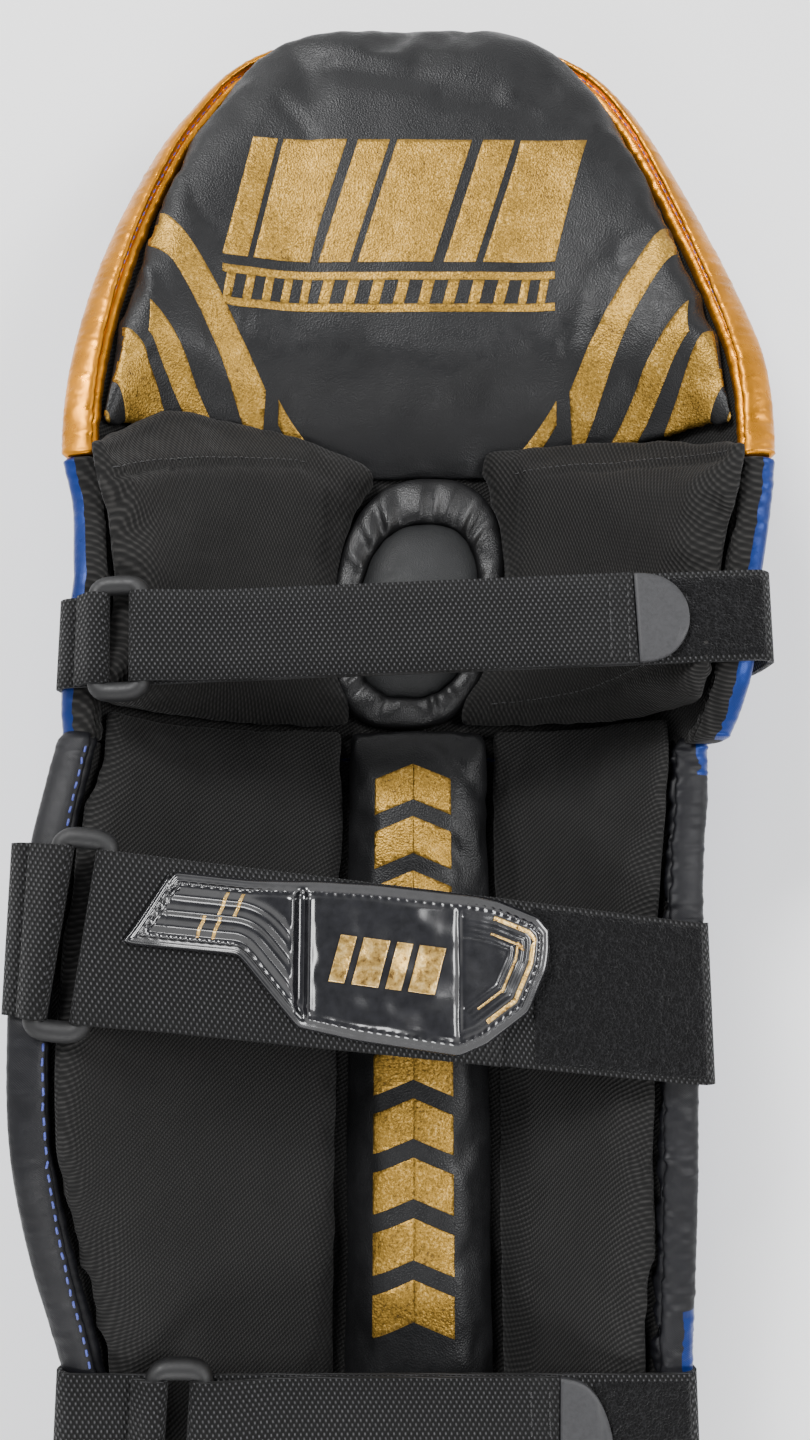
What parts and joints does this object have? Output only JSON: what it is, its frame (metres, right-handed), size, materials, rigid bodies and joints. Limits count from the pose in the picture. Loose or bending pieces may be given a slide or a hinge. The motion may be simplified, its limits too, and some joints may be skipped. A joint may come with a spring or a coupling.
{
  "type": "batting pad",
  "caption": "Padded leg guard for batting: ribbed front shell, rolls across the knee, cushions on the leg side, and straps with rings that close behind the leg.",
  "frame": {"origin": "middle of the bounding box's base, on the surface that the pad's front lies on", "axes": "+Y along the pad from the foot to the thigh, +X to the right of a viewer who looks down at the leg side, +Z out of the leg side, away from the surface"},
  "size_m": [0.267, 0.714, 0.1323],
  "materials": {
    "face": "blue metallic coated cloth over foam",
    "gold_satin": "orange gold satin coated cloth",
    "blue_satin": "blue satin coated cloth",
    "black_leather": "fine grained black coated cloth over foam",
    "black_fabric": "black twill over foam",
    "webbing": "black woven strap",
    "ring_plastic": "moulded black",
    "badge_gloss": "clear glossy moulding over black"
  },
  "bodies": {
    "root": {"top_face": "face", "shin_face": "face", "instep": "face", "knee_roll_1": "face", "knee_roll_2": "face", "knee_roll_3": "face", "top_binding": "gold_satin", "knee_binding_left": "blue_satin", "knee_binding_right": "blue_satin", "shin_binding_left": "black_leather", "shin_binding_right": "black_leather", "top_cushion": "black_leather", "knee_bolster_left": "black_fabric", "knee_bolster_right": "black_fabric", "knee_cup_ring": "black_leather", "knee_cup_dome": "black_leather", "calf_bolster_left": "black_fabric", "calf_bolster_right": "black_fabric", "shin_bar": "black_leather", "knee_strap": "webbing", "knee_ring_tab": "webbing", "knee_ring": "ring_plastic", "knee_strap_tip": "ring_plastic", "calf_strap": "webbing", "calf_ring_tab": "webbing", "calf_ring": "ring_plastic", "calf_badge": "badge_gloss", "ankle_strap": "webbing", "ankle_ring_tab": "webbing", "ankle_ring": "ring_plastic", "ankle_strap_tip": "ring_plastic"}
  },
  "joints": []
}
